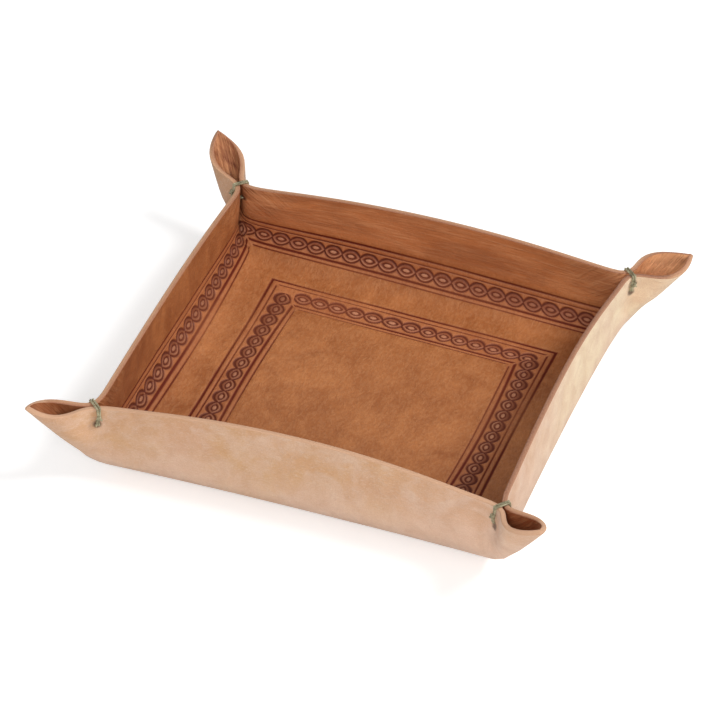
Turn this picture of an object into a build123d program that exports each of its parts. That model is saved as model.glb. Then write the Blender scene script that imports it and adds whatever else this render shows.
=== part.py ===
from build123d import *
import os
import numpy as np

# A valet tray: one square sheet of thick leather, its four walls folded up with a soft bend and its
# corners pinched and tied with waxed cord, so that each corner flares past its tie into an open ear.
# Millimetres, +Z up. The origin is in the middle of the base, on the surface that the tray stands on.

# The sheet of leather. The formulas below follow the middle of its thickness.
sheet_side = 268
leather = 2.5
wall_spread = 99.2  # from the middle of the tray to each wall
base_bend = 18  # radius of the fold between base and wall

# The corners, where the two walls meet face to face under the tie
pinch_gap = 1.0  # between the two grain sides, before the pull of the fold on either side of it
ear_lift = 6.6  # the tip's height over the tie
ear_turn = 2.5  # the tip's drift to one side
tie_sink = 4.0  # how far a tie pulls the rim down
tie_drift = 1.0  # how far a tie stands off its true place
wall_lean = 2.0  # how far the middle of a rim leans in
rim_crown = 3.0  # how far the middle of a rim stands up

# The waxed cord of each tie, and the punched holes that it runs through
cord = 1.1
cord_gap = 0.5  # between two turns that lie side by side
cord_slack = 0.3  # between the cord and the leather that it goes round
turns = 2
hole_drop = 10.5  # from the rim down to the punched holes
hole_room = 0.25  # around the strands in a hole
knot_height = 5.5  # of the knot over the holes
knot_width = 2.7
tail_length = 3.2
knot_end_share = 0.55  # of its width, at its two ends
knot_body_share = 0.6  # of its length, at full width
tail_fall_share = 2  # how much steeper a tail falls than it stands out

# An ear as shares of its reach, from the tie to the tip
ear_swell_share = 0.218  # half its width
neck_blend_share = 0.517  # how softly a wall turns into it
keel_round_share = 0.13  # roundness of the fold along its underside
fold_start_share = 0.287  # how gently that fold begins at the base's corner

# How each shape grows from the fold at the base, where it is zero, to the rim, where it is one
keel_slope_share = np.sqrt(2) - 1
keel_slope_run_share = 1.6
keel_rise_share = 0.3
least_fall_share = 0.3
curl_share = 0.6
gap_growth = 4
blend_growth = 0.5
ear_growth = 1.5
tip_growth = 1.5
pull_growth = 2
level_growth = 8

# The corners in order: front left, back left, back right, front right
corner_names = ("front_left", "back_left", "back_right", "front_right")
corner_signs = ((-1, -1), (-1, 1), (1, 1), (1, -1))
ear_reach_shares = (0.98, 0.89, 0.95, 0.96)
ear_swell_shares = (0.75, 0.80, 1.25, 0.78)
ear_lift_shares = (0.81, 1.79, 0.55, 0.98)
ear_turn_shares = (-1.1, -0.4, -1.6, 1.0)
tie_sink_shares = (0.40, 1.66, 1.37, 0.45)
tie_drift_shares = ((0.8, -0.5), (-0.6, 0.6), (-0.1, -0.9), (-2.2, -1.1))

# The walls in order: right, back, left, front. Each knot lies on the outside of one of them.
wall_outs = ((1, 0), (0, 1), (-1, 0), (0, -1))
wall_lean_shares = (1.9, 0.0, 0.2, 1.4)
rim_crown_shares = (0.42, 0.05, -0.05, 1.43)
knot_walls = (3, 2, 0, 3)

# How finely the curved sheet and the cord are drawn
bend_rings = 6
wall_rings = 4
ring_points = 18
crowding = 1.2
cord_sides = 5
hole_sides = 8
rim_samples = 9
path_samples = 24
nudge = 0.01

half_side = sheet_side / 2
base_half = wall_spread - base_bend
wall_run = half_side - base_half
bend_run = base_bend * np.pi / 2
full_reach = half_side - wall_spread
pinch_half = (leather + pinch_gap) / 2
keel_round = full_reach * keel_round_share
fold_start = full_reach * fold_start_share
root_two = np.sqrt(2)
turn_pitch = cord + cord_gap


def wall_profile(run):
    """How far out and how high a wall is, a given run past the start of its fold."""
    turned = min(run, bend_run) / base_bend
    out = base_half + base_bend * np.sin(turned)
    up = base_bend * (1 - np.cos(turned)) + max(run - bend_run, 0)
    return out, up


def blended_top(first, second, width):
    """The larger of two heights, with the crossing rounded over the given width."""
    near = np.clip(1 - np.abs(first - second) / width, 0, 1)
    return np.maximum(first, second) + width * near**3 / 6


def eased(share):
    """A rise from zero to one that starts and ends level."""
    held = np.clip(share, 0, 1)
    return held * held * (3 - 2 * held)


def pulled(share):
    """How much of a tie's pull reaches a place: it grows along the wall and levels out at the tie."""
    level = 1 + (1 - share**level_growth) * pull_growth / level_growth
    return share**pull_growth * level


def unit(vectors):
    """Each vector at a length of one."""
    return vectors / np.linalg.norm(vectors, axis=-1, keepdims=True)


class HalfCorner:
    """The sheet from the middle of one wall to the keel of one ear."""

    def __init__(self, wall, corner):
        self.wall = wall
        self.corner = corner
        self.out = np.array(wall_outs[wall], float)
        self.along = np.array(corner_signs[corner], float) - self.out
        diagonal = (self.out + self.along) / root_two
        self.sideways = np.array((-diagonal[1], diagonal[0]))
        self.reach = full_reach * ear_reach_shares[corner]
        self.swell = full_reach * ear_swell_share * ear_swell_shares[corner]

    def sizes(self, run):
        """What shapes the ring of the sheet that lies at this run from the fold."""
        out, up = wall_profile(run)
        spare = max(base_half + run - out, 0)
        ripe = min(spare / full_reach, 1)
        reach = self.reach * spare / full_reach
        blend = max(full_reach * neck_blend_share * ripe**blend_growth, nudge)
        gap = pinch_half * (1 - (1 - ripe) ** gap_growth)
        neck = max(reach + gap - blend / 6, nudge)
        return out, up, ripe, reach, blend, gap, neck

    def ring_stops(self, run):
        """Where the ring's points lie, from the keel to the middle of the wall."""
        out, up, ripe, reach, blend, gap, neck = self.sizes(run)
        return (out / root_two + reach) * knots**crowding

    def place(self, run, back):
        """Points on the middle of the leather, a distance back from the keel along the diagonal."""
        out, up, ripe, reach, blend, gap, neck = self.sizes(run)
        onset = min(1, run / (keel_slope_run_share * base_bend)) ** 2
        steep = keel_slope_share * onset
        swell = self.swell * ripe
        fall = np.pi * swell / neck
        along_ear = np.minimum(back / neck, 1)
        rounded = np.exp(-back / keel_round)
        ear = swell * np.sin(np.pi * along_ear) + (gap - blend / 6) * eased(along_ear)
        ear = ear - max(fall, least_fall_share) * np.maximum(back - neck, 0)
        closed = 1 - ripe * eased(along_ear)
        ear = ear + (1 + steep - fall) * keel_round * (1 - rounded) * closed
        folded = blended_top(ear, back - reach, blend) - blended_top(0, -reach, blend) * rounded
        curled = back - reach * (1 - np.exp(-back / fold_start))
        formed = eased(ripe / curl_share)
        apart = formed * folded + (1 - formed) * curled
        keel = root_two * out + reach
        outward = (keel - back + apart) / root_two
        sidelong = (keel - back - apart) / root_two
        toward_tie = pulled(np.clip(sidelong / out, 0, 1))
        toward_tip = np.clip(1 - back / neck, 0, 1) ** tip_growth
        grown = (max(run, 0) / wall_run) ** ear_growth
        lean = -wall_lean * wall_lean_shares[self.wall] * grown * (1 - toward_tie)
        crown = rim_crown * rim_crown_shares[self.wall] * grown * (1 - toward_tie)
        drift = tie_drift * np.array(tie_drift_shares[self.corner]) * grown
        sink = tie_sink * tie_sink_shares[self.corner] * grown
        turn = ear_turn * ear_turn_shares[self.corner] * ripe**ear_growth
        lift = ear_lift * ear_lift_shares[self.corner] * ripe**ear_growth
        flat = np.outer(outward + lean, self.out) + np.outer(sidelong, self.along)
        flat = flat + np.outer(toward_tie, drift) + np.outer(toward_tip * turn, self.sideways)
        keel_rise = keel_round * keel_rise_share * onset * rounded
        height = leather / 2 + up + keel_rise + crown - sink * toward_tie + lift * toward_tip
        return np.column_stack((flat, height))

    def normals(self, run, back):
        """Unit normals towards the grain side, which faces up and into the tray."""
        across = self.place(run + nudge, back) - self.place(run - nudge, back)
        ahead = self.place(run, back + nudge) - self.place(run, back)
        turned = self.out[1] * self.along[0] - self.out[0] * self.along[1]
        return unit(np.cross(across, ahead)) * turned

    def face(self, run, back, side):
        """Points on the flesh side (-1) or the grain side (+1) of the leather."""
        return self.place(run, back) + side * leather / 2 * self.normals(run, back)

    def neck(self, run):
        """How far back from the keel the two walls come closest."""
        return np.array([self.sizes(run)[-1]])


halves = []
for wall in range(4):
    for corner in range(4):
        if np.dot(wall_outs[wall], corner_signs[corner]) > 0:
            halves.append(HalfCorner(wall, corner))

# Halves meet at a keel, where their points start, or in the middle of a wall, where they end
meetings = []
for first in range(len(halves)):
    for second in range(first):
        if halves[first].corner == halves[second].corner:
            meetings.append((first, second, 0))
        if halves[first].wall == halves[second].wall:
            meetings.append((first, second, -1))

knots = np.linspace(0, 1, ring_points)
bend_runs = np.linspace(0, bend_run, bend_rings)
wall_runs = np.linspace(bend_run, wall_run, wall_rings)
runs = list(bend_runs) + list(wall_runs[1:])


def ring(run, side):
    """One closed spline round the tray, on the flesh side (-1) or the grain side (+1)."""
    places = []
    normals = []
    for half in halves:
        back = half.ring_stops(run)
        places.append(half.place(run, back))
        normals.append(half.normals(run, back) if run > 0 else np.tile((0, 0, 1), (ring_points, 1)))
    for rows in (places, normals):
        for first, second, end in meetings:
            shared = (rows[first][end] + rows[second][end]) / 2
            rows[first][end] = shared
            rows[second][end] = shared
    edges = []
    for middle, normal in zip(places, normals):
        points = middle + side * leather / 2 * unit(normal)
        edges.append(Edge.make_spline([tuple(point) for point in points], parameters=list(knots)))
    return Wire(edges)


def formed_sheet():
    """The folded sheet as one closed solid: two lofted skins, a flat base and the cut edge."""
    flesh_rings = [ring(run, -1) for run in runs]
    grain_rings = [ring(run, 1) for run in runs]
    flesh = Shell.make_loft(flesh_rings, ruled=True)
    grain = Shell.make_loft(grain_rings, ruled=True)
    cut_edge = []
    for below in flesh_rings[-1].edges():
        above = grain_rings[-1].edges().sort_by_distance(below.center())[0]
        cut_edge.append(Face.make_surface_from_curves(below, above))
    base = [Face(flesh_rings[0]), Face(grain_rings[0])]
    return Solid(Shell(flesh.faces() + grain.faces() + cut_edge + base))


class Pinch:
    """Where one tie goes: its holes, the rim over them, and the directions round the neck."""

    def __init__(self, corner):
        near, far = [half for half in halves if half.corner == corner]
        if near.wall != knot_walls[corner]:
            near, far = far, near
        hole_run = wall_run - hole_drop
        near_hole = near.place(hole_run, near.neck(hole_run))
        far_hole = far.place(hole_run, far.neck(hole_run))
        near_rim = near.place(wall_run, near.neck(wall_run))
        far_rim = far.place(wall_run, far.neck(wall_run))
        self.hole = (near_hole + far_hole)[0] / 2
        self.up = unit((near_rim + far_rim)[0] / 2 - self.hole)
        spread = (near_rim - far_rim)[0]
        self.across = unit(spread - np.dot(spread, self.up) * self.up)
        self.ahead = np.cross(self.up, self.across)
        self.near_low = self.clear_of(near, hole_run, self.across)
        self.far_low = self.clear_of(far, hole_run, -self.across)
        self.near_top = self.clear_of(near, wall_run, self.across)
        self.far_top = self.clear_of(far, wall_run, -self.across)
        self.top = max(self.clear_of(near, wall_run, self.up), self.clear_of(far, wall_run, self.up))

    def clear_of(self, half, run, heading):
        """How far out along a heading the middle of the cord clears the leather beside the neck."""
        aside = turn_pitch * turns / 2 + cord
        back = half.neck(run) + np.linspace(-aside, aside, rim_samples)
        faces = np.concatenate((half.face(run, back, -1), half.face(run, back, 1)))
        return np.dot(faces - self.hole, heading).max() + cord_slack + cord / 2

    def at(self, across, up, ahead):
        """A place by its distances from the middle between the holes."""
        return self.hole + across * self.across + up * self.up + ahead * self.ahead


def biarc(start, heading, end, end_heading):
    """Two arcs that leave the start and reach the end along the given headings."""
    gap = end - start
    both = heading + end_heading
    spare = 4 - np.dot(both, both)
    reach = (np.sqrt(np.dot(gap, both) ** 2 + spare * np.dot(gap, gap)) - np.dot(gap, both)) / spare
    first, second = start + reach * heading, end - reach * end_heading
    middle = (first + second) / 2
    return [
        Edge.make_tangent_arc(tuple(start), tuple(heading), tuple(middle)),
        Edge.make_tangent_arc(tuple(middle), tuple(unit(second - first)), tuple(end)),
    ]


def winding(pinch):
    """The cord's path: from the knot down, through the holes, up, over both rims and down, each turn."""
    knot_out = pinch.near_low + (pinch.near_top - pinch.near_low) * knot_height / pinch.top
    knot = np.array((knot_out, knot_height))
    low_points = [(pinch.near_low, 0), (-pinch.far_low, 0)]
    turning_points = low_points + [(-pinch.far_top, pinch.top), (pinch.near_top, pinch.top)]
    outline = [knot] + [np.array(point) for point in turning_points * turns] + [knot]
    stops = [(0, knot, unit(outline[1] - knot))]
    for before, point, after in zip(outline, outline[1:], outline[2:]):
        inward, outward = unit(point - before), unit(after - point)
        turned = np.arccos(np.dot(inward, outward))
        trim = cord * np.tan(turned / 2)
        length = stops[-1][0] + np.linalg.norm(point - trim * inward - stops[-1][1])
        stops.append((length, point - trim * inward, inward))
        stops.append((length + cord * turned, point + trim * outward, outward))
    length = stops[-1][0] + np.linalg.norm(knot - stops[-1][1])
    stops.append((length, knot, stops[-1][2]))
    rate = turn_pitch * turns / length
    # The turns drift sideways at a steady rate, so that their strands lie evenly in the holes
    centre = (stops[2][0] + stops[3][0]) / 2 + length * (turns - 1) / turns / 2
    places = [pinch.at(place[0], place[1], rate * (run - centre)) for run, place, heading in stops]
    headings = []
    for run, place, heading in stops:
        headings.append(unit(heading[0] * pinch.across + heading[1] * pinch.up + rate * pinch.ahead))
    edges = [Edge.make_line(tuple(places[0]), tuple(places[1]))]
    for stop in range(1, len(stops) - 1, 2):
        edges += biarc(places[stop], headings[stop], places[stop + 1], headings[stop + 1])
        edges.append(Edge.make_line(tuple(places[stop + 1]), tuple(places[stop + 2])))
    return edges, places, headings, length


def self_gap(edges, length):
    """The least gap between two turns of the cord, measured on points along its path."""
    points = []
    for edge in edges:
        points += [tuple(edge @ share) for share in np.linspace(0, 1, path_samples, endpoint=False)]
    points = np.array(points)
    travelled = np.cumsum(np.linalg.norm(np.diff(points, axis=0, prepend=points[:1]), axis=1))
    apart = np.linalg.norm(points[:, None] - points[None], axis=2)
    far_along = np.abs(travelled[:, None] - travelled[None]) > length / turns / 2
    return apart[far_along].min() - cord


pinches = [Pinch(corner) for corner in range(len(corner_names))]
hole_width = (turns - 1) * turn_pitch + cord + 2 * hole_room

with BuildPart() as leather_tray:
    add(formed_sheet())
    for pinch in pinches:
        with BuildSketch(Plane(origin=tuple(pinch.hole), z_dir=tuple(pinch.across))):
            RegularPolygon(hole_width / 2, hole_sides)
        extrude(amount=max(pinch.near_low, pinch.far_low), both=True, mode=Mode.SUBTRACT)

knot_sections = ((-1, knot_end_share), (-knot_body_share, 1), (knot_body_share, 1), (1, knot_end_share))

ties = []
for pinch in pinches:
    edges, places, headings, length = winding(pinch)
    print("least gap between the cord's turns:", round(float(self_gap(edges, length)), 3))
    knot_middle = (places[0] + places[-1]) / 2 + (knot_width - cord) / 2 * pinch.across
    knot_half = turns * turn_pitch / 2 + cord / 2
    with BuildPart() as tie:
        with BuildLine() as route:
            add(edges)
        section_plane = Plane(tuple(places[0]), x_dir=tuple(pinch.ahead), z_dir=tuple(headings[0]))
        with BuildSketch(section_plane):
            RegularPolygon(cord / 2, cord_sides)
        sweep(path=route.wire())
        # The knot: a small barrel across the strands, narrower at its ends, with two short tails
        for end, width_share in knot_sections:
            middle = knot_middle + end * knot_half * pinch.ahead
            with BuildSketch(Plane(origin=tuple(middle), z_dir=tuple(pinch.ahead), x_dir=tuple(pinch.up))):
                RegularPolygon(width_share * knot_width / 2, cord_sides)
        loft(ruled=True)
        for end in (-1, 1):
            root = knot_middle + end * knot_half / 2 * pinch.ahead
            heading = unit(pinch.across - tail_fall_share * pinch.up + end * pinch.ahead)
            with BuildSketch(Plane(origin=tuple(root), z_dir=tuple(heading))):
                RegularPolygon(cord / 2, cord_sides)
            extrude(amount=tail_length)
    ties.append(tie)

os.makedirs("parts", exist_ok=True)
leather_tray.part.label = "leather_tray"
export_step(leather_tray.part, "parts/leather_tray.step")
for corner_name, tie in zip(corner_names, ties):
    tie.part.label = "tie_" + corner_name
    export_step(tie.part, "parts/tie_" + corner_name + ".step")
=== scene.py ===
import bpy
import numpy as np
from mathutils import Matrix, Vector


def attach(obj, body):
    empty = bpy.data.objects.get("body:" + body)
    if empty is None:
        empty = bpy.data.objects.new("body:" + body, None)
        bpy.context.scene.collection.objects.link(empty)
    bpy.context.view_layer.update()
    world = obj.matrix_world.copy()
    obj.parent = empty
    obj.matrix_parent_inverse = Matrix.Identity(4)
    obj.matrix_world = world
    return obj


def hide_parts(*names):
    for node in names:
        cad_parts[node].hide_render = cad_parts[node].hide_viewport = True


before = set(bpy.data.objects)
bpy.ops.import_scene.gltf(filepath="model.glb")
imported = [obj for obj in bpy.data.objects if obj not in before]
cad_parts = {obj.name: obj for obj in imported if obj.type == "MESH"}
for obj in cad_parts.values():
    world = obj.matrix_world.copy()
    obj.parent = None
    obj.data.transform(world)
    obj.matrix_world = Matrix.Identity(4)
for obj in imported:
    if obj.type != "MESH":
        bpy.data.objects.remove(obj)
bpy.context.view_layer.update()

# The formed sheet, in millimetres, by the same formulas as the CAD model
MM = 0.001
sheet_side = 268
leather = 2.5
wall_spread = 99.2
base_bend = 18
pinch_gap = 1.0
ear_swell_share = 0.218
neck_blend_share = 0.517
keel_round_share = 0.13
fold_start_share = 0.287
ear_lift = 6.6
ear_turn = 2.5
tie_sink = 4.0
tie_drift = 1.0
wall_lean = 2.0
rim_crown = 3.0
cord = 1.1
turns = 2
hole_drop = 10.5
knot_height = 5.5
keel_slope_share = np.sqrt(2) - 1
keel_slope_run_share = 1.6
keel_rise_share = 0.3
least_fall_share = 0.3
curl_share = 0.6
blend_growth = 0.5
ear_growth = 1.5
tip_growth = 1.5
nudge = 0.01

corner_names = ("front_left", "back_left", "back_right", "front_right")
corner_signs = ((-1, -1), (-1, 1), (1, 1), (1, -1))
ear_reach_shares = (0.98, 0.89, 0.95, 0.96)
ear_swell_shares = (0.75, 0.80, 1.25, 0.78)
ear_lift_shares = (0.81, 1.79, 0.55, 0.98)
ear_turn_shares = (-1.1, -0.4, -1.6, 1.0)
tie_sink_shares = (0.40, 1.66, 1.37, 0.45)
tie_drift_shares = ((0.8, -0.5), (-0.6, 0.6), (-0.1, -0.9), (-2.2, -1.1))
wall_outs = ((1, 0), (0, 1), (-1, 0), (0, -1))
wall_lean_shares = (1.9, 0.0, 0.2, 1.4)
rim_crown_shares = (0.42, 0.05, -0.05, 1.43)
knot_walls = (3, 2, 0, 3)
# By wall and corner: the front left ear is flatter on its front wall than on its left
drawn_in = {(3, 0): 0.5}

half_side = sheet_side / 2
base_half = wall_spread - base_bend
wall_run = half_side - base_half
bend_run = base_bend * np.pi / 2
full_reach = half_side - wall_spread
pinch_half = (leather + pinch_gap) / 2
keel_round = full_reach * keel_round_share
fold_start = full_reach * fold_start_share
root_two = np.sqrt(2)
grain = leather / 2

# How finely each half corner is measured: its rings, the shares of a ring, and the steps along it
ring_count = 120
share_count = 240
step_count = 900

# The tooled borders, by their distance from the middle of the base on the uncut sheet
outer_chain = 99.18
inner_chain = 64.78
between_chains = 82.0
chain_half = 4.5
band_half = 9.3
# Each line: its distance out from the chain's middle, its half width, and how short of the corner it ends
line_offsets = ((8.82, 0.86, -0.8), (5.53, 0.56, 0.5), (-5.50, 0.90, 0.2), (-8.33, 0.52, 1.0))
# Where each ring of the drawing really came to lie, across the back and front and across the sides
drawn_rings = (0, 56.45, 59.28, 64.78, 70.31, 73.6, 90.85, 93.68, 99.18, 104.71, 108.0, 134)
back_rings = (0, 55.6, 57.7, 64.1, 70.7, 73.8, 93.1, 95.5, 100.5, 105.7, 108.7, 134)
side_rings = (0, 56.5, 59.7, 64.9, 70.3, 73.2, 89.9, 93.3, 99.4, 105.2, 108.8, 134)
drawn_tilts = (0, -0.036, -0.038, -0.041, -0.041, -0.039, -0.034, -0.033, -0.033, -0.032, -0.030, 0)

# The stamped link: its length, its half length, how it bows and slants to its points, and its half widths
link_length = 9.2
link_half = 4.75
link_bow = 0.8
link_slant = 1.8
back_half_width = 3.75
inner_narrower = 0.45
side_half_width = 3.45
# Its groove, its eye, the pupil of the eye, and the strand that stands along its rim
groove_half = 0.58
eye_half = (2.35, 1.55)
eye_point = 0.25
pupil_half = (0.9, 0.5)
strand_inset = 1.05
strand_half = 0.42
# The lengths that one link takes on the inner and the outer border
inner_back_pitch = 9.03
outer_back_pitch = 9.263
inner_side_pitch = 9.2
# How much lower the inner chain lies on the right
right_lower = 1.2
# How deep the tool goes, and how high a strand stands again
line_depth = 0.42
chain_depth = 0.42
link_sink = 0.12
strand_rise = 0.24
# The soft folds at the front of the left wall
fold_height = 0.55
fold_middle = -66.0
fold_reach = 42.0


def unit(vectors):
    return vectors / np.linalg.norm(vectors, axis=-1, keepdims=True)


def eased(share):
    kept = np.clip(share, 0, 1)
    return kept * kept * (3 - 2 * kept)


def blended_top(first, second, width):
    near = np.clip(1 - np.abs(first - second) / width, 0, 1)
    return np.maximum(first, second) + width * near**3 / 6


class HalfCorner:
    """The sheet from the middle of one wall to the keel of one ear."""

    def __init__(self, wall, corner):
        self.wall = wall
        self.corner = corner
        self.out = np.array(wall_outs[wall], float)
        self.along = np.array(corner_signs[corner], float) - self.out
        diagonal = (self.out + self.along) / root_two
        self.sideways = np.array((-diagonal[1], diagonal[0]))
        self.reach = full_reach * ear_reach_shares[corner]
        self.swell = full_reach * ear_swell_share * ear_swell_shares[corner]
        self.swell *= drawn_in.get((wall, corner), 1)
        self.turned = self.out[1] * self.along[0] - self.out[0] * self.along[1]
        # How far back from the keel each share of a ring's length lies
        self.runs = np.linspace(0, wall_run, ring_count)
        self.shares = np.linspace(0, 1, share_count)
        rows = []
        for run in self.runs:
            back = self.ring_end(run) * np.linspace(0, 1, step_count) ** 1.5
            places = self.place(np.full(step_count, run), back)
            steps = np.linalg.norm(np.diff(places, axis=0), axis=1)
            travelled = np.concatenate(([0], np.cumsum(steps)))
            rows.append(np.interp(self.shares, travelled / travelled[-1], back))
        self.backs = np.array(rows)

    def sizes(self, run):
        turned = np.minimum(run, bend_run) / base_bend
        out = base_half + base_bend * np.sin(turned)
        up = base_bend * (1 - np.cos(turned)) + np.maximum(run - bend_run, 0)
        spare = np.maximum(base_half + run - out, 0)
        ripe = np.minimum(spare / full_reach, 1)
        reach = self.reach * spare / full_reach
        blend = np.maximum(full_reach * neck_blend_share * ripe**blend_growth, nudge)
        gap = pinch_half * (1 - (1 - ripe) ** 4)
        neck = np.maximum(reach + gap - blend / 6, nudge)
        return out, up, ripe, reach, blend, gap, neck

    def ring_end(self, run):
        out, up, ripe, reach, blend, gap, neck = self.sizes(run)
        return out / root_two + reach

    def place(self, run, back):
        out, up, ripe, reach, blend, gap, neck = self.sizes(run)
        onset = np.minimum(1, run / (keel_slope_run_share * base_bend)) ** 2
        steep = keel_slope_share * onset
        swell = self.swell * ripe
        fall = np.pi * swell / neck
        along_ear = np.minimum(back / neck, 1)
        rounded = np.exp(-back / keel_round)
        ear = swell * np.sin(np.pi * along_ear) + (gap - blend / 6) * eased(along_ear)
        ear = ear - np.maximum(fall, least_fall_share) * np.maximum(back - neck, 0)
        closed = 1 - ripe * eased(along_ear)
        ear = ear + (1 + steep - fall) * keel_round * (1 - rounded) * closed
        folded = blended_top(ear, back - reach, blend) - blended_top(0, -reach, blend) * rounded
        curled = back - reach * (1 - np.exp(-back / fold_start))
        formed = eased(ripe / curl_share)
        apart = formed * folded + (1 - formed) * curled
        keel = root_two * out + reach
        outward = (keel - back + apart) / root_two
        sidelong = (keel - back - apart) / root_two
        toward_wall = np.clip(sidelong / out, 0, 1)
        toward_tie = toward_wall**2 * (1 + (1 - toward_wall**8) / 4)
        toward_tip = np.clip(1 - back / neck, 0, 1) ** tip_growth
        grown = (np.maximum(run, 0) / wall_run) ** ear_growth
        lean = -wall_lean * wall_lean_shares[self.wall] * grown * (1 - toward_tie)
        crown = rim_crown * rim_crown_shares[self.wall] * grown * (1 - toward_tie)
        drift = tie_drift * np.array(tie_drift_shares[self.corner])
        sink = tie_sink * tie_sink_shares[self.corner] * grown
        turn = ear_turn * ear_turn_shares[self.corner] * ripe**ear_growth
        lift = ear_lift * ear_lift_shares[self.corner] * ripe**ear_growth
        flat = np.outer(outward + lean, self.out) + np.outer(sidelong, self.along)
        flat = flat + np.outer(toward_tie * grown, drift) + np.outer(toward_tip * turn, self.sideways)
        keel_rise = keel_round * keel_rise_share * onset * rounded
        height = leather / 2 + up + keel_rise + crown - sink * toward_tie + lift * toward_tip
        return np.column_stack((flat, height))

    def normals(self, run, back):
        across = self.place(run + nudge, back) - self.place(run - nudge, back)
        ahead = self.place(run, back + nudge) - self.place(run, back)
        return unit(np.cross(across, ahead)) * self.turned

    def flat(self, spread, share):
        """Where a point lies on the uncut sheet, from its distance out and its share of the ring."""
        return spread[:, None] * (self.out + (1 - share)[:, None] * self.along)

    def back_of(self, run, share):
        row = np.clip(run / wall_run, 0, 1) * (len(self.runs) - 1)
        low = np.minimum(row.astype(int), len(self.runs) - 2)
        column = share * (len(self.shares) - 1)
        left = np.minimum(column.astype(int), len(self.shares) - 2)
        down, across = row - low, column - left
        lower = self.backs[low, left] * (1 - across) + self.backs[low, left + 1] * across
        upper = self.backs[low + 1, left] * (1 - across) + self.backs[low + 1, left + 1] * across
        return lower * (1 - down) + upper * down

    def formed(self, spread, share):
        """Points and normals on the middle of the leather for points of the flat sheet."""
        run = spread - base_half
        places = np.column_stack((self.flat(spread, share), np.full(len(spread), leather / 2)))
        normals = np.tile((0.0, 0.0, 1.0), (len(spread), 1))
        risen = run > nudge
        if risen.any():
            back = self.back_of(run[risen], share[risen])
            places[risen] = self.place(run[risen], back)
            normals[risen] = self.normals(run[risen], back)
        return places, normals

    def neck(self, run):
        return self.sizes(run)[-1]

    def neck_share(self, run):
        """The share of a ring's length from the keel to the neck."""
        row = np.array([np.interp(run, self.runs, column) for column in self.backs.T])
        return np.interp(self.neck(run), row, self.shares)


halves = []
for wall in range(4):
    for corner in range(4):
        if np.dot(wall_outs[wall], corner_signs[corner]) > 0:
            halves.append(HalfCorner(wall, corner))

# The halves in the order of a ring: from the middle of a wall to a keel and on to the next wall
around = []
for wall, corner in ((0, 2), (1, 2), (1, 1), (2, 1), (2, 0), (3, 0), (3, 3), (0, 3)):
    for half in halves:
        if (half.wall, half.corner) == (wall, corner):
            around.append(half)


# Numbers that work in meshes and in materials alike
class Term:
    """A number in a material's node tree."""

    tree = None

    def __init__(self, socket):
        self.socket = socket

    def __add__(self, other):
        return maths("ADD", self, other)

    def __radd__(self, other):
        return maths("ADD", other, self)

    def __sub__(self, other):
        return maths("SUBTRACT", self, other)

    def __rsub__(self, other):
        return maths("SUBTRACT", other, self)

    def __mul__(self, other):
        return maths("MULTIPLY", self, other)

    def __rmul__(self, other):
        return maths("MULTIPLY", other, self)

    def __truediv__(self, other):
        return maths("DIVIDE", self, other)


def wire(socket, value):
    if isinstance(value, Term):
        Term.tree.links.new(value.socket, socket)
    else:
        socket.default_value = value


def maths(kind, *values):
    node = Term.tree.nodes.new("ShaderNodeMath")
    node.operation = kind
    for socket, value in zip(node.inputs, values):
        wire(socket, value)
    return Term(node.outputs[0])


def either(kind, reckon):
    """A function that makes a node for Terms and reckons with plain numbers."""
    def run(*values):
        if any(isinstance(value, Term) for value in values):
            return maths(kind, *values)
        return reckon(*values)
    return run


absolute = either("ABSOLUTE", np.abs)
larger = either("MAXIMUM", np.maximum)
smaller = either("MINIMUM", np.minimum)
sine = either("SINE", np.sin)
root = either("SQRT", np.sqrt)
part_of = either("FLOORED_MODULO", lambda value, step: value - np.floor(value / step) * step)
power = either("POWER", np.power)
over = either("GREATER_THAN", lambda value, other: (value > other) * 1.0)


def held(value):
    return smaller(larger(value, 0.0), 1.0)


def smooth(value):
    value = held(value)
    return value * value * (3.0 - 2.0 * value)


def rising(value, start, slope):
    """From 0 to 1 as a value passes a start, or as it falls below it where the slope is negative."""
    return smooth((value - start) * slope)


def wander(along, across, size, turn):
    """A slow unevenness from -1 to 1, as a hand leaves it."""
    first = sine(along * (1.0 / size) + turn) * sine(across * (0.8 / size) + 2.1 * turn)
    second = sine(along * (-0.43 / size) + across * (0.71 / size) + 3.7 * turn)
    return 0.55 * first + 0.45 * second


hole_spread = half_side - hole_drop
hole_along = hole_spread * (1 - np.mean([half.neck_share(wall_run - hole_drop) for half in halves]))


def punched(u, v, reach):
    """How near a point is to one of the eight punched holes, from 0 to 1."""
    spread = larger(absolute(u), absolute(v)) - hole_spread
    along = smaller(absolute(u), absolute(v)) - hole_along
    return smooth((reach - root(spread * spread + along * along)) * (1.6 / reach))


def oval(place, across, half_length, half_width):
    """How far outside an oval a point lies, in millimetres across it, about."""
    ring = root(place * place * (1.0 / half_length**2) + across * across * (1.0 / half_width**2))
    return (ring - 1.0) * (0.5 * (half_length + half_width))


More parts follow.
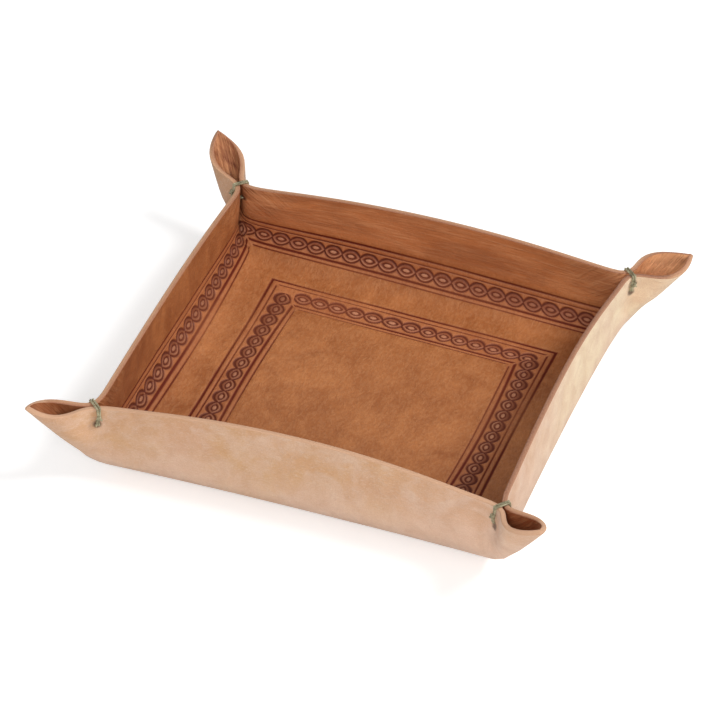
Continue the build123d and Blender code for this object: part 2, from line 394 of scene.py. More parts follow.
def links(place, across, count, low_end, high_end, half_width):
    """One side's chain: how deep its lines go, what it raises, and where its links are."""
    local = (part_of(count + 0.5, 1.0) - 0.5) * link_length
    within = held((chain_half + 0.1 - absolute(across)) * 2.0)
    within = within * held((high_end - place) * 3.0) * held((place + low_end) * 3.0)
    length = absolute(local) * (1.0 / link_half)
    pointed = half_width * power(larger(1.0 - length * length, 0.0), link_bow)
    rim = (absolute(across) - pointed) / root(1.0 + link_slant * length * length)
    eye = oval(local, across, *eye_half) + eye_point * absolute(across)
    # The groove is cut wider on the outer side of each link; this extra dark width is painted shade, and the
    # relief follows it.
    outline = held(1.35 - absolute(rim) / (groove_half + 0.06 * across))
    around_eye = held(1.35 - absolute(eye) / groove_half)
    chain = larger(outline, 0.92 * around_eye) * within
    # The strand, stronger on the inner side of each link, and the pupil are raised and painted pale: a
    # painted highlight on them.
    strand = held(1.2 - absolute(rim + strand_inset) / strand_half) * held(0.50 - 0.22 * across)
    pupil = 1.1 * held(1.2 - oval(local, across, *pupil_half))
    raised = larger(strand, pupil) * (1.0 - held(chain)) * within
    return chain, raised, held((1.2 - rim) * 1.2) * within


def border_of(spread):
    """Whether a point is in the inner border, and how far out the middle of its chain lies."""
    inner = over(between_chains, spread)
    return inner, outer_chain - (outer_chain - inner_chain) * inner


def tooling(u, v):
    """What the tool did at a point of the drawing, with painted highlight and shade on the links: its lines,
    its chain, what that raises, and its links.
    """
    spread = larger(absolute(u), absolute(v))
    along = smaller(absolute(u), absolute(v))
    inner, middle = border_of(spread)
    pressed = 0.84 + 0.24 * wander(u, v, 13.0, 1.7)
    wobble = 0.16 * wander(u, v, 9.0, 0.4)
    lines = 0.0
    for offset, width, short in line_offsets:
        ended = held((spread - along - short) * 1.4)
        drawn = held(1.3 - absolute(spread - middle + wobble - offset) / width)
        lines = larger(lines, drawn * (0.5 + 0.6 * width) * ended)

    # Which link a point is in: the middle of a link is where its count is whole
    uneven = 2.4 * smooth(1.0 - absolute(u - 6.0) * 0.034) - 1.0 * rising(u, -22.0, -0.05)
    inner_back = (u + 54.4 - uneven) / inner_back_pitch
    outer_back = (u + 2.1 + 1.35 * rising(u, 0.0, -0.025)) / outer_back_pitch
    back_count = inner * inner_back + (1.0 - inner) * outer_back
    lower = right_lower * inner * over(u, 0.0)
    ahead = v - 5.0
    outer_side = 5.0 + 0.1005 * ahead + 0.00009 * ahead * ahead
    side_count = inner * ((v + 40.0 + lower) / inner_side_pitch) + (1.0 - inner) * outer_side

    # The ends of each chain, where two links meet
    back_low, back_high = middle + 1.5 - 6.3 * inner, middle - 4.0 + 6.5 * inner
    side_low, side_high = middle + 0.15 - 1.95 * inner + lower, middle + 2.4 - 1.3 * inner - lower
    back_half = back_half_width - inner_narrower * inner
    back = links(u, absolute(v) - middle, back_count, back_low, back_high, back_half)
    side = links(v, absolute(u) - middle, side_count, side_low, side_high, side_half_width)
    # The links of a side cover those of the back where the two meet
    uncovered = 1.0 - side[2]
    chain, raised, near = [larger(first * uncovered, second) for first, second in zip(back, side)]
    # How much the strands and pupils stand up and are painted pale: partly rubbed wear, partly painted
    # highlight, more along the back and front.
    rubbed_and_highlit = (0.66 + 0.5 * wander(u, v, 23.0, 2.3)) * (0.55 + 0.45 * over(absolute(v), absolute(u)))
    return lines * pressed, chain * pressed, raised * rubbed_and_highlit, near


def relief(u, v):
    """Height of the grain side over the plain sheet, in millimetres."""
    lines, chain, raised, near = tooling(u, v)
    folds = fold_height * sine(v * 0.30 + 0.12 * u) * rising(u, -111.0, -0.2) * rising(u, -131.0, 0.3)
    folds = folds * rising(absolute(v - fold_middle), fold_reach, -0.06)
    folds = folds - line_depth * smooth(lines) - chain_depth * smooth(chain)
    return folds - link_sink * near + strand_rise * raised


# The sheet's mesh
def stops(count, crowd):
    return np.linspace(0, 1, count + 1) ** crowd


def as_drawn(u, v):
    """Where a point of the drawing came to lie on the flat sheet."""
    ring = np.maximum(np.abs(u), np.abs(v))
    facing = v / ring
    back = np.interp(ring, drawn_rings, back_rings)
    side = np.interp(ring, drawn_rings, side_rings)
    grown = (side + (back - side) * facing**2) / ring
    return u * grown, v * grown + np.interp(ring, drawn_rings, drawn_tilts) * u * facing


def on_sheet(u, v):
    """Places and normals on the middle of the leather for points of the flat sheet."""
    places = np.zeros((len(u), 3))
    normals = np.zeros((len(u), 3))
    for half in halves:
        out = u * half.out[0] + v * half.out[1]
        along = u * half.along[0] + v * half.along[1]
        mine = (out > 0) & (along >= 0) & (along <= out)
        if mine.any():
            spread = out[mine]
            places[mine], normals[mine] = half.formed(spread, 1 - along[mine] / spread)
    return places, normals


def ring(spread, shares, offset):
    """One closed ring of the sheet: places, places in the drawing and the ring's own scale for joining."""
    rows = []
    for number, half in enumerate(around):
        share = shares[:-1] if number % 2 else shares[:0:-1]
        scale = number + (share if number % 2 else 1 - share)
        rows.append(np.column_stack((half.flat(np.full(len(share), float(spread)), share), scale)))
    u, v, scale = np.concatenate(rows).T
    places, normals = on_sheet(*as_drawn(u, v))
    rise = np.full(len(u), float(offset))
    if offset == grain:
        rise = rise + relief(u, v)
    return np.column_stack((places + rise[:, None] * normals, u, v, scale))


def band(old, old_scale, new, new_scale):
    """The faces between two rings, which may have different numbers of points."""
    made = []
    if len(old) == len(new):
        for step in range(len(new)):
            beside = (step + 1) % len(new)
            made.append((new[step], new[beside], old[beside], old[step]))
        return made
    here, there = 0, 0
    while here < len(old) or there < len(new):
        old_next = old_scale[here + 1] if here + 1 < len(old) else len(around)
        new_next = new_scale[there + 1] if there + 1 < len(new) else len(around)
        low, high = old[here % len(old)], new[there % len(new)]
        if there >= len(new) or (here < len(old) and old_next <= new_next):
            made.append((high, old[(here + 1) % len(old)], low))
            here += 1
        else:
            made.append((high, new[(there + 1) % len(new)], low))
            there += 1
    return made


# The sheet's materials by number, how a ring's points are spread, and the rings themselves: the distance out
# of each, its spread, its height over the leather's middle, and the material of the faces that lead to it
grain_kind, edge_kind, flesh_kind = 0, 1, 2
coarse = stops(44, 1.3)
outer_fine = stops(188, 1.06)
inner_fine = stops(124, 1.04)
chain_rings = 19
edge_round = ((0.55, 1.0), (0.28, 0.97), (0.1, 0.86))
levels = []


def level(spread, shares, offset, kind):
    levels.append((spread, shares, offset, kind))


for spread in (1.2, 5, 10, 15, 20, 25, 30, 35, 40, 44, 48, 52, 54.5):
    level(spread, coarse, grain, grain_kind)
for middle, fine in ((inner_chain, inner_fine), (outer_chain, outer_fine)):
    stations = []
    for offset, width, short in line_offsets:
        stations += [(middle + offset + width * step, coarse) for step in (-1.4, -0.7, 0, 0.7, 1.4)]
    stations += [(middle + across, fine) for across in np.linspace(-chain_half, chain_half, chain_rings)]
    stations += [(middle - 6.9, coarse), (middle + 7.1, coarse)]
    for spread, shares in sorted(stations, key=lambda station: station[0]):
        level(spread, shares, grain, grain_kind)
    if middle == inner_chain:
        for spread in (76, 78.5, 81, 83.5, 86, 88):
            level(spread, coarse, grain, grain_kind)
for spread in (110.5, 113, 115.5, 118, 120.5, 122, 123.5, 125, 127, 129, 131, 132.4):
    level(spread, coarse, grain, grain_kind)
for inset, share in edge_round:
    level(half_side - inset, coarse, grain * share, grain_kind if share == 1 else edge_kind)
for share in (0.6, 0.2, -0.2, -0.6):
    level(half_side, coarse, grain * share, edge_kind)
for inset, share in edge_round[::-1]:
    level(half_side - inset, coarse, -grain * share, edge_kind)
for spread in (132.4, *range(130, 82, -3), 81.2, 76, 66, 54, 40, 26, 12, 1.2):
    level(spread, coarse, -grain, flesh_kind)

points, flats, faces, kinds = [], [], [], []
before, before_scale = [], []
count = 0
for spread, shares, offset, kind in levels:
    rows = ring(spread, shares, offset)
    points.append(rows[:, :3])
    flats.append(np.column_stack((rows[:, 3:5], np.full(len(rows), offset))))
    scale = rows[:, 5]
    numbers = list(range(count, count + len(rows)))
    made = band(before, before_scale, numbers, scale) if before else [tuple(numbers)]
    faces += made
    kinds += [kind] * len(made)
    before, before_scale = numbers, scale
    count += len(rows)
faces.append(tuple(before[::-1]))
kinds.append(flesh_kind)

mesh = bpy.data.meshes.new("leather_sheet")
mesh.from_pydata((np.concatenate(points) * MM).tolist(), [], faces)
flat_places = mesh.attributes.new("flat", "FLOAT_VECTOR", "POINT")
flat_places.data.foreach_set("vector", np.concatenate(flats).astype(np.float32).ravel())
mesh.polygons.foreach_set("material_index", kinds)
mesh.polygons.foreach_set("use_smooth", [True] * len(faces))
mesh.update()
sheet = bpy.data.objects.new("leather_sheet", mesh)
bpy.context.scene.collection.objects.link(sheet)


# Materials
def srgb(*levels):
    """A colour as it is seen on a screen, from 0 to 255, in Blender's own scale."""
    linear = []
    for level in levels:
        seen = level / 255
        linear.append(seen / 12.92 if level < 11 else ((seen + 0.055) / 1.055) ** 2.4)
    return (*linear, 1.0)


def material(name):
    made = bpy.data.materials.new(name)
    made.use_nodes = True
    Term.tree = made.node_tree
    shader = made.node_tree.nodes["Principled BSDF"]
    return made, shader


def node(kind, **settings):
    made = Term.tree.nodes.new(kind)
    for name, value in settings.items():
        setattr(made, name, value)
    return made


def link(source, target):
    Term.tree.links.new(source, target)


def attribute(name):
    return node("ShaderNodeAttribute", attribute_name=name).outputs["Vector"]


def stretched(vector, scale, turn=0.0):
    mapping = node("ShaderNodeMapping")
    mapping.inputs["Scale"].default_value = scale
    mapping.inputs["Rotation"].default_value = (0, 0, turn)
    link(vector, mapping.inputs["Vector"])
    return mapping.outputs["Vector"]


def noise(vector, detail, rough, distortion=0.0):
    made = node("ShaderNodeTexNoise")
    made.inputs["Scale"].default_value = 1.0
    made.inputs["Detail"].default_value = detail
    made.inputs["Roughness"].default_value = rough
    made.inputs["Distortion"].default_value = distortion
    link(vector, made.inputs["Vector"])
    return Term(made.outputs[0])


def mottle(vector, scale, low, high, detail, rough, distortion=0.0, turn=0.0):
    """A noise whose usual range, low to high, is stretched over zero to one."""
    value = noise(stretched(vector, scale, turn), detail, rough, distortion)
    return held((value - low) * (1.0 / (high - low)))


def blend(share, first, second):
    """A colour between two colours; each is a Term or a plain colour."""
    made = node("ShaderNodeMix", data_type="RGBA")
    wire(made.inputs[0], share)
    wire(made.inputs[6], first)
    wire(made.inputs[7], second)
    return Term(made.outputs[2])


def split(vector):
    made = node("ShaderNodeSeparateXYZ")
    link(vector, made.inputs[0])
    return [Term(socket) for socket in made.outputs]


def bump(height):
    """The normal over a height in millimetres."""
    made = node("ShaderNodeBump")
    made.inputs["Strength"].default_value = 1.0
    made.inputs["Distance"].default_value = MM
    wire(made.inputs["Height"], height)
    return made.outputs["Normal"]


def streaks(vector, along, across, turn=0.0):
    """Fine hairs of the grain, drawn out along one direction."""
    return mottle(vector, (across, along, 0.3), 0.42, 0.72, 4.0, 0.6, 0.7, turn)


# The grain side: tan, paler in the ears, browner in its band and links, with dark lines; painted light on the
# back wall and in the back right ear, painted shade in the front right ear, at the front of the left wall, on
# the outer side of the link grooves and in the holes, and painted highlights on the raised strands and the
# creases
tan_deep = srgb(150, 86, 44)
tan_pale = srgb(198, 128, 76)
tan_speck = srgb(140, 76, 38)
pale_tone_and_painted_light = srgb(224, 144, 92)
back_right_ear_painted_light = srgb(255, 184, 130)
front_right_ear_painted_shade = srgb(138, 66, 44)
back_left_ear = srgb(228, 164, 116)
fibre_pale = srgb(234, 176, 128)
patch_dark = srgb(118, 58, 30)
left_wall_shade = srgb(118, 62, 42)
band_on_side = srgb(168, 98, 66)
band_on_back = srgb(190, 114, 76)
link_on_side = srgb(112, 56, 36)
link_on_back = srgb(134, 70, 46)
strand_highlight = srgb(232, 170, 132)
line_dark = srgb(96, 24, 0)
chain_dark = srgb(88, 32, 14)
grain_hole_shade = srgb(70, 32, 18)

# Where the browner walls start, and the ears and the creases before them, by the sum of the two distances
wall_foot = 106.0
ear_foot = 212.0
crease_foot = 192.0

grain_side, shader = material("grain_side")
flat = attribute("flat")
u, v = split(flat)[:2]
lines, chain, raised, near = tooling(u, v)
broad = mottle(flat, (0.020, 0.026, 0.02), 0.33, 0.68, 3.0, 0.6, 0.6)
cloudy = mottle(flat, (0.07, 0.05, 0.05), 0.33, 0.67, 6.0, 0.66, 0.6)
speckled = mottle(flat, (0.8, 0.6, 0.5), 0.3, 0.7, 5.0, 0.65)
on_back = rising(v, wall_foot, 0.12)
on_side = rising(absolute(u), wall_foot, 0.12) * (1.0 - on_back)
corner = absolute(u) + absolute(v)
in_ear = rising(corner, ear_foot, 0.06)
creased = rising(corner, crease_foot, 0.1) * (1.0 - in_ear)
lengthwise = streaks(flat, 0.34, 0.8, 0.1)
crosswise = streaks(flat, 0.7, 0.06, 0.03)
folded = node("ShaderNodeCombineXYZ")
wire(folded.inputs[0], absolute(u) - absolute(v))
wire(folded.inputs[1], corner)
wrinkled = streaks(folded.outputs[0], 0.035, 0.42)
fibres = (lengthwise * (1.0 - on_back) + crosswise * on_back) * (1.0 - in_ear) + wrinkled * in_ear
tan = blend(0.4 * broad + 0.6 * cloudy, tan_deep, tan_pale)
tan = blend(0.42 * (1.0 - speckled), tan, tan_speck)
# Painted light on the back wall, which faces the front lamp; the ears are paler too.
tan = blend(0.40 * in_ear + 0.42 * on_back, tan, pale_tone_and_painted_light)
# Painted light inside the back right ear, which faces the lamps.
tan = blend(0.95 * in_ear * rising(u + v, 205.0, 0.05), tan, back_right_ear_painted_light)
# Painted shade inside the front right ear.
tan = blend(0.5 * in_ear * rising(u - v, 205.0, 0.05), tan, front_right_ear_painted_shade)
back_left = rising(v - u, 200.0, 0.05)
tan = blend(0.5 * in_ear * back_left, tan, back_left_ear)
pale_fibres = (0.17 + 0.13 * on_back + 0.26 * in_ear) * fibres
# Painted highlights on the creases before the ears, stronger at the back left.
crease_highlights = (0.3 + 0.3 * back_left) * creased * wrinkled
tan = blend(pale_fibres + crease_highlights, tan, fibre_pale)
patchy = mottle(flat, (0.022, 0.07, 0.03), 0.4, 0.62, 4.0, 0.6, 0.8)
dark_patches = (0.34 * on_side + 0.36 * on_back) * patchy
dark_wrinkles = (0.3 + 0.35 * back_left) * in_ear * (1.0 - wrinkled)
tan = blend(dark_patches + dark_wrinkles, tan, patch_dark)
# Painted shade of the soft folds towards the front of the left wall.
left_fold_shade = rising(u, -wall_foot, -0.15) * rising(v, -20.0, -0.02)
tan = blend(0.35 * left_fold_shade, tan, left_wall_shade)
spread = larger(absolute(u), absolute(v))
middle = border_of(spread)[1]
in_band = smooth((band_half - absolute(spread - middle)) * 0.8)
along_back = over(absolute(v), absolute(u))
tan = blend(0.34 * in_band, tan, blend(along_back, band_on_side, band_on_back))
tint = blend(0.76 * near, tan, blend(along_back, link_on_side, link_on_back))
# A painted highlight on the raised strands and pupils, partly standing for rubbed wear.
tint = blend(0.62 * raised, tint, strand_highlight)
groove = held(larger(smooth(lines), 0.92 * smooth(chain)))
deep = blend(held(smooth(chain) - smooth(lines)), line_dark, chain_dark)
dark = blend(groove, tint, deep)
# Painted shade where the cords go through the sheet; the holes are not cut in this mesh.
dark = blend(0.8 * punched(u, v, 2.6), dark, grain_hole_shade)
link(dark.socket, shader.inputs["Base Color"])
roughness = 0.38 + 0.16 * cloudy + 0.08 * speckled + 0.22 * groove
link(roughness.socket, shader.inputs["Roughness"])
shader.inputs["Specular IOR Level"].default_value = 0.3
pores = noise(stretched(flat, (2.4, 2.0, 1.0)), 3.0, 0.6)
height = 0.06 * pores + (0.12 + 0.30 * in_ear + 0.08 * on_back) * fibres
height = height + 0.25 * cloudy - 0.12 * groove + 0.25 * creased * wrinkled
link(bump(height), shader.inputs["Normal"])

# The flesh side: suede, rosier to the right, with painted light in cream on the right wall and towards the
# foot, a painted highlight on the back right ear, and painted shade at the back left and in the holes
suede_tan = srgb(216, 172, 124)
suede_pink = srgb(224, 184, 156)
suede_rosy = srgb(242, 206, 182)
blotch_pale = srgb(232, 200, 178)
foot_painted_light = srgb(240, 208, 186)
rim_ochre = srgb(210, 152, 100)
back_left_painted_shade = srgb(186, 140, 104)
lit_cream_warm = srgb(250, 232, 192)
lit_cream_cool = srgb(246, 222, 190)
back_right_ear_highlight = srgb(252, 226, 192)
cloud_tan = srgb(198, 146, 108)
nap_tan = srgb(188, 142, 110)
hair_pale = srgb(242, 216, 190)
flesh_hole_shade = srgb(78, 50, 30)

flesh_side, shader = material("flesh_side")
flat = attribute("flat")
broad = mottle(flat, (0.020, 0.022, 0.02), 0.33, 0.68, 3.0, 0.55, 0.5)
cloudy = mottle(flat, (0.10, 0.08, 0.05), 0.33, 0.67, 6.0, 0.62, 0.5)
nap = mottle(flat, (1.9, 1.5, 1.0), 0.3, 0.7, 5.0, 0.65)
hairs = mottle(flat, (0.5, 1.4, 1.0), 0.5, 0.72, 4.0, 0.6, 1.2, turn=0.5)
u, v = split(flat)[:2]
on_right = rising(u, 100.0, 0.08)
rosy = rising(u, 10.0, 0.012)
ringed = larger(absolute(u), absolute(v))
suede = blend(broad, suede_tan, suede_pink)
suede = blend(0.85 * rosy, suede, suede_rosy)
blotchy = mottle(flat, (0.05, 0.07, 0.05), 0.42, 0.60, 5.0, 0.6, 0.9, turn=0.4)
suede = blend(0.5 * blotchy, suede, blotch_pale)
# Painted light, paler towards the foot.
suede = blend(0.5 * rising(ringed, 116.0, -0.05), suede, foot_painted_light)
high = rising(ringed, 108.0, 0.045)
suede = blend(0.45 * high * (1.0 - blotchy), suede, rim_ochre)
# Painted shade at the back left ear, which faces away from the key lamp.
suede = blend(0.6 * rising(v - u, 190.0, 0.04), suede, back_left_painted_shade)
# Painted light in cream on the right wall, which faces the key lamp, fading towards its front end.
lit_cream = blend(broad, lit_cream_warm, lit_cream_cool)
suede = blend(on_right * (0.12 + 0.88 * rising(v, -80.0, 0.008)), suede, lit_cream)
# A painted highlight on the outside of the back right ear.
suede = blend(0.9 * rising(u + v, 208.0, 0.06), suede, back_right_ear_highlight)
suede = blend(0.42 * (1.0 - cloudy), suede, cloud_tan)
suede = blend(0.36 * (1.0 - nap), suede, nap_tan)
suede = blend(0.34 * hairs, suede, hair_pale)
# Painted shade where the cords go through the sheet; the holes are not cut in this mesh.
suede = blend(0.8 * punched(u, v, 3.3), suede, flesh_hole_shade)
link(suede.socket, shader.inputs["Base Color"])
shader.inputs["Roughness"].default_value = 0.88
shader.inputs["Specular IOR Level"].default_value = 0.2
shader.inputs["Sheen Weight"].default_value = 0.2
shader.inputs["Sheen Roughness"].default_value = 0.5
link(bump(0.14 * nap + 0.5 * cloudy + 0.1 * hairs), shader.inputs["Normal"])

# The cut edge: raw fibres, browner along the right wall and rubbed pale on the front
raw_inner = srgb(160, 100, 72)
raw_outer = srgb(206, 160, 124)
right_inner = srgb(122, 72, 56)
right_outer = srgb(160, 106, 82)
layer_brown = srgb(170, 118, 88)
fuzz_pale = srgb(226, 186, 154)
worn_pale = srgb(214, 172, 142)

cut_edge, shader = material("cut_edge")
flat = attribute("flat")
u, v, depth = split(flat)
layers = mottle(flat, (0.16, 0.16, 2.2), 0.35, 0.65, 4.0, 0.6)
fuzz = mottle(flat, (1.6, 1.6, 2.0), 0.3, 0.7, 4.0, 0.6)
worn = rising(v, -118.0, -0.3)
outward = held(0.55 - depth * 0.42 + 0.5 * worn)
on_right = rising(u, 112.0, 0.2) * rising(v, 118.0, -0.2) * rising(v, -104.0, 0.1)
raw = blend(outward, raw_inner, raw_outer)
raw = blend(0.85 * on_right, raw, blend(outward, right_inner, right_outer))
raw = blend(0.35 * (1.0 - layers), raw, layer_brown)
raw = blend(0.30 * fuzz, raw, fuzz_pale)
raw = blend(0.55 * worn, raw, worn_pale)
link(raw.socket, shader.inputs["Base Color"])
shader.inputs["Roughness"].default_value = 0.75
shader.inputs["Specular IOR Level"].default_value = 0.25
link(bump(0.12 * fuzz + 0.1 * layers), shader.inputs["Normal"])

for made in (grain_side, cut_edge, flesh_side):
    mesh.materials.append(made)
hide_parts("leather_tray")
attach(sheet, "root")

# The ties of waxed cord
cord_dark = srgb(84, 74, 44)
cord_pale = srgb(196, 188, 154)

waxed, shader = material("waxed_cord")
place = node("ShaderNodeTexCoord").outputs["Object"]
fibre = mottle(place, (2600, 2600, 2600), 0.3, 0.7, 3.0, 0.6)
patch = mottle(place, (420, 420, 420), 0.35, 0.65, 3.0, 0.5)
olive = blend(0.45 * fibre + 0.55 * patch, cord_dark, cord_pale)
link(olive.socket, shader.inputs["Base Color"])
shader.inputs["Roughness"].default_value = 0.42
shader.inputs["Specular IOR Level"].default_value = 0.5
link(bump(0.05 * fibre), shader.inputs["Normal"])

turn_pitch = cord * 1.2
ply_count = 2
ply_pitch = 2.6
ply_step = 0.22
tube_sides = 8
knot_sizes = (0.29, 0.29, 0.40, 0.29)
knot_points = 90
# Each loose end: the side it leaves the knot on, and its length
loose_ends = ((-1, 1.7), (1, 1.2))
# One turn's four corners, by their share of the way to the next turn: near hole, far hole, far rim, near rim
turn_shares = (0.12, 0.3, 0.62, 0.8)
near_hole_height = 1.3
far_hole_height = 0.3


class Pinch:
    """Where one tie goes: its holes, the rim over them, and the directions round the neck."""

    def __init__(self, corner):
        near, far = [half for half in halves if half.corner == corner]
        if near.wall != knot_walls[corner]:
            near, far = far, near
        hole_run = np.array([wall_run - hole_drop])
        rim_run = np.array([wall_run])
        low = [half.place(hole_run, half.neck(hole_run))[0] for half in (near, far)]
        rim = [half.place(rim_run, half.neck(rim_run))[0] for half in (near, far)]
        self.hole = (low[0] + low[1]) / 2
        self.up = unit((rim[0] + rim[1]) / 2 - self.hole)
        spread = rim[0] - rim[1]
        self.across = unit(spread - np.dot(spread, self.up) * self.up)
        self.ahead = np.cross(self.up, self.across)
        self.near_low = self.clear_of(near, hole_run, self.across)
        self.far_low = self.clear_of(far, hole_run, -self.across)
        self.near_top = self.clear_of(near, rim_run, self.across)
        self.far_top = self.clear_of(far, rim_run, -self.across)
        self.top = max(self.clear_of(near, rim_run, self.up), self.clear_of(far, rim_run, self.up))

    def clear_of(self, half, run, heading):
        back = half.neck(run) + np.linspace(-cord, cord, 7)
        runs = np.full(7, run[0])
        middle, normal = half.place(runs, back), half.normals(runs, back)
        skins = np.concatenate((middle - leather / 2 * normal, middle + leather / 2 * normal))
        return np.dot(skins - self.hole, heading).max() + cord * 0.45

    def at(self, across, up, ahead):
        return self.hole + across * self.across + up * self.up + ahead * self.ahead


def smooth_line(route):
    """Points along the smooth curve that a route's points lead."""
    curve = bpy.data.curves.new("route", "CURVE")
    curve.dimensions = "3D"
    spline = curve.splines.new("NURBS")
    spline.points.add(len(route) - 1)
    for point, place in zip(spline.points, route):
        point.co = (*place, 1)
    spline.order_u = 3
    spline.use_endpoint_u = True
    spline.resolution_u = 12
    holder = bpy.data.objects.new("route", curve)
    line = bpy.data.meshes.new_from_object(holder)
    path = np.array([vertex.co for vertex in line.vertices])
    bpy.data.objects.remove(holder)
    bpy.data.curves.remove(curve)
    bpy.data.meshes.remove(line)
    return path


def resampled(path, step):
    travelled = np.concatenate(([0], np.cumsum(np.linalg.norm(np.diff(path, axis=0), axis=1))))
    stations = np.linspace(0, travelled[-1], max(int(travelled[-1] / step), 4))
    return np.column_stack([np.interp(stations, travelled, path[:, axis]) for axis in range(3)]), stations


def frames(path):
    """Two directions across a path that turn with it as little as can be."""
    ahead = unit(np.gradient(path, axis=0))
    side = np.cross(ahead[0], (0.3, 0.5, 0.8))
    sides = []
    for heading in ahead:
        side = unit(side - np.dot(side, heading) * heading)
        sides.append(side)
    sides = np.array(sides)
    return sides, np.cross(ahead, sides)


def tube(path, radius):
    """Points and faces of a closed tube along a path, with its ends drawn in."""
    first, second = frames(path)
    sides = tube_sides
    turned = np.linspace(0, 2 * np.pi, sides, endpoint=False)
    drawn = np.full(len(path), radius)
    drawn[0] = drawn[-1] = radius * 0.45
    rings = path[:, None] + drawn[:, None, None] * (
        np.cos(turned)[None, :, None] * first[:, None] + np.sin(turned)[None, :, None] * second[:, None])
    places = rings.reshape(-1, 3)
    made = []
    for row in range(len(path) - 1):
        for column in range(sides):
            beside = (column + 1) % sides
            made.append((row * sides + column, row * sides + beside,
                         (row + 1) * sides + beside, (row + 1) * sides + column))
    made.append(tuple(range(sides))[::-1])
    made.append(tuple(range((len(path) - 1) * sides, len(path) * sides)))
    return places, made


def twisted(path, radius):
    """The plies of a twisted cord along a path."""
    path, travelled = resampled(path, ply_step)
    first, second = frames(path)
    made = []
    for ply in range(ply_count):
        angle = 2 * np.pi * (travelled / ply_pitch + ply / ply_count)
        offset = np.cos(angle)[:, None] * first + np.sin(angle)[:, None] * second
        made.append(tube(path + offset * radius * 0.46, radius * 0.6))
    return made


def joined(name, pieces):
    places, made = [], []
    count = 0
    for rows, quads in pieces:
        places.append(rows)
        made += [tuple(index + count for index in quad) for quad in quads]
        count += len(rows)
    body = bpy.data.meshes.new(name)
    body.from_pydata((np.concatenate(places) * MM).tolist(), [], made)
    body.polygons.foreach_set("use_smooth", [True] * len(made))
    body.materials.append(waxed)
    body.update()
    piece = bpy.data.objects.new(name, body)
    bpy.context.scene.collection.objects.link(piece)
    return piece


def winding(pinch, knot_out):
    """The cord from the knot, twice through the holes and over the rims, and back to the knot."""
    start = -turn_pitch * turns / 2
    places = ((pinch.near_low, near_hole_height), (-pinch.far_low, far_hole_height),
              (-pinch.far_top, pinch.top), (pinch.near_top, pinch.top))
    route = [(knot_out, knot_height, start * 0.5)]
    for turn in range(turns):
        for (across, up), share in zip(places, turn_shares):
            route += [(across, up, start + turn_pitch * (turn + share))] * 2
    route.append((knot_out, knot_height, -start * 0.5))
    return smooth_line([pinch.at(*place) for place in route])


def trefoil(pinch, middle, size):
    """The path of the knot, a little wider than it is deep."""
    turned = np.linspace(0, 2 * np.pi, knot_points)
    ahead = np.sin(turned) + 2 * np.sin(2 * turned)
    up = np.cos(turned) - 2 * np.cos(2 * turned)
    across = -np.sin(3 * turned)
    loop = np.outer(ahead, pinch.ahead * 1.15) + np.outer(up, pinch.up) + np.outer(across, pinch.across * 0.9)
    return middle + size * loop


def loose_end(pinch, middle, end, length):
    """The path of a short end that leaves the knot and hangs against the wall."""
    start = middle + end * 0.5 * pinch.ahead
    bend = start + 0.6 * pinch.across - 0.5 * pinch.up + 0.4 * end * pinch.ahead
    tip = start + 0.7 * pinch.across - length * pinch.up + 0.8 * end * pinch.ahead
    return smooth_line([start, bend, tip])


for corner, name in enumerate(corner_names):
    pinch = Pinch(corner)
    knot_out = pinch.near_low + (pinch.near_top - pinch.near_low) * knot_height / pinch.top + 0.3
    middle = pinch.at(knot_out + 2.2 * knot_sizes[corner] - 0.15, knot_height, 0)
    pieces = twisted(winding(pinch, knot_out), cord / 2)
    pieces += twisted(trefoil(pinch, middle, knot_sizes[corner]), cord / 2 * 0.95)
    for end, length in loose_ends:
        pieces += twisted(loose_end(pinch, middle, end, length), cord / 2 * 0.9)
    tie = joined("cord_" + name, pieces)
    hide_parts("tie_" + name)
    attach(tie, "root")

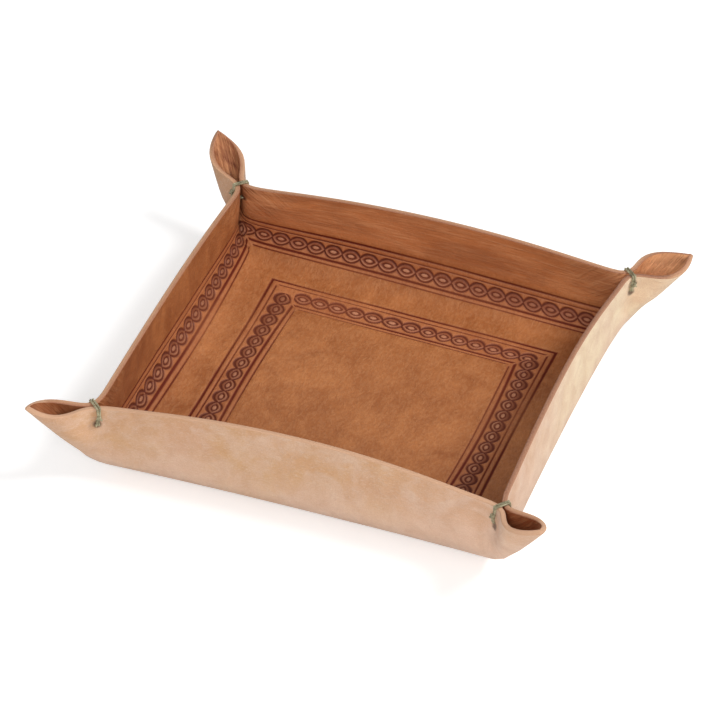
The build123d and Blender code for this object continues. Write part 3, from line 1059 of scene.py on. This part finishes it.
# Floor, light and camera
floor_mesh = bpy.data.meshes.new("floor")
floor_mesh.from_pydata([(-6, -6, 0), (6, -6, 0), (6, 6, 0), (-6, 6, 0)], [], [(0, 1, 2, 3)])
floor = bpy.data.objects.new("floor", floor_mesh)
bpy.context.scene.collection.objects.link(floor)
pale, shader = material("pale_floor")
shader.inputs["Base Color"].default_value = (0.86, 0.86, 0.86, 1)
shader.inputs["Roughness"].default_value = 0.9
shader.inputs["Specular IOR Level"].default_value = 0.1
seen = node("ShaderNodeLightPath").outputs["Is Camera Ray"]
shader.inputs["Emission Color"].default_value = (1, 1, 1, 1)
link((Term(seen) * 0.4).socket, shader.inputs["Emission Strength"])
floor_mesh.materials.append(pale)


def lamp(name, place, size, power):
    """A round lamp that shines on the middle of the base."""
    light = bpy.data.lights.new(name, "AREA")
    light.shape = "DISK"
    light.size = size
    light.energy = power
    made = bpy.data.objects.new(name, light)
    made.location = place
    made.rotation_euler = (-Vector(place)).to_track_quat("-Z", "Y").to_euler()
    bpy.context.scene.collection.objects.link(made)


lamp("key", (1.7, 0.35, 2.05), 1.0, 40)
lamp("front", (0.5, -2.2, 1.5), 1.3, 31)

world = bpy.data.worlds.new("studio")
world.use_nodes = True
background = world.node_tree.nodes["Background"]
background.inputs["Color"].default_value = (1, 1, 1, 1)
background.inputs["Strength"].default_value = 0.40
bpy.context.scene.world = world
bpy.context.scene.view_settings.view_transform = "Standard"

# The photograph's camera: its direction, its distance in metres, its focal length and middle in pixels
azimuth, elevation, roll = np.radians((16.92, 37.08, 3.08))
distance = 2.25739
picture = 720
focal = 4732.5
centre_x, centre_y = 364.79, 402.44
sensor = 36

level_back = np.array((np.sin(azimuth), -np.cos(azimuth), 0)) * np.cos(elevation)
back = level_back + np.array((0, 0, np.sin(elevation)))
right = np.array((np.cos(azimuth), np.sin(azimuth), 0))
upward = np.cross(back, right)
level_right = np.cos(roll) * right + np.sin(roll) * upward
level_up = -np.sin(roll) * right + np.cos(roll) * upward
camera_data = bpy.data.cameras.new("camera")
camera_data.sensor_width = sensor
camera_data.lens = sensor * focal / picture
camera_data.shift_x = (picture / 2 - centre_x) / picture
camera_data.shift_y = (centre_y - picture / 2) / picture
camera_data.clip_end = 50
camera = bpy.data.objects.new("camera", camera_data)
turned_to = np.column_stack((level_right, level_up, back))
camera.matrix_world = Matrix([(*row, 0) for row in turned_to] + [(0, 0, 0, 1)])
camera.location = Vector(back * distance) + Vector((0, 0, leather / 2 * MM))
bpy.context.scene.collection.objects.link(camera)
bpy.context.scene.camera = camera
